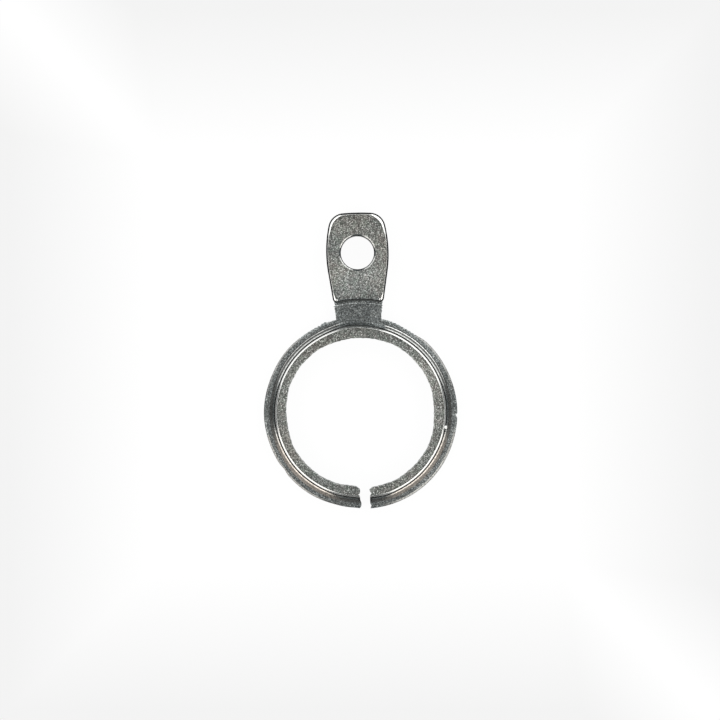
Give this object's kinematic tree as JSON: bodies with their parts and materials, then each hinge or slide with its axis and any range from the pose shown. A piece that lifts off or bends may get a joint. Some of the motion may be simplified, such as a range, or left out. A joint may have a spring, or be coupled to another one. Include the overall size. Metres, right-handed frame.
{
  "type": "watch stud holder",
  "caption": "Split steel ring with a raised collar, a turned groove and a pad with a round hole that holds the stud of a watch hairspring.",
  "frame": {"origin": "on the bore axis, at the flat underside", "axes": "+Z along the bore axis, towards the stepped side with the raised collar; +Y from the bore axis towards the stud hole; +X to the right when seen from +Z with +Y up"},
  "size_m": [0.0052, 0.008, 0.0006],
  "materials": {
    "steel": "bare steel, fine grained and matt on the flat faces, turned in the groove, polished on the bevels"
  },
  "bodies": {
    "root": {"stud_holder": "steel"}
  },
  "joints": []
}
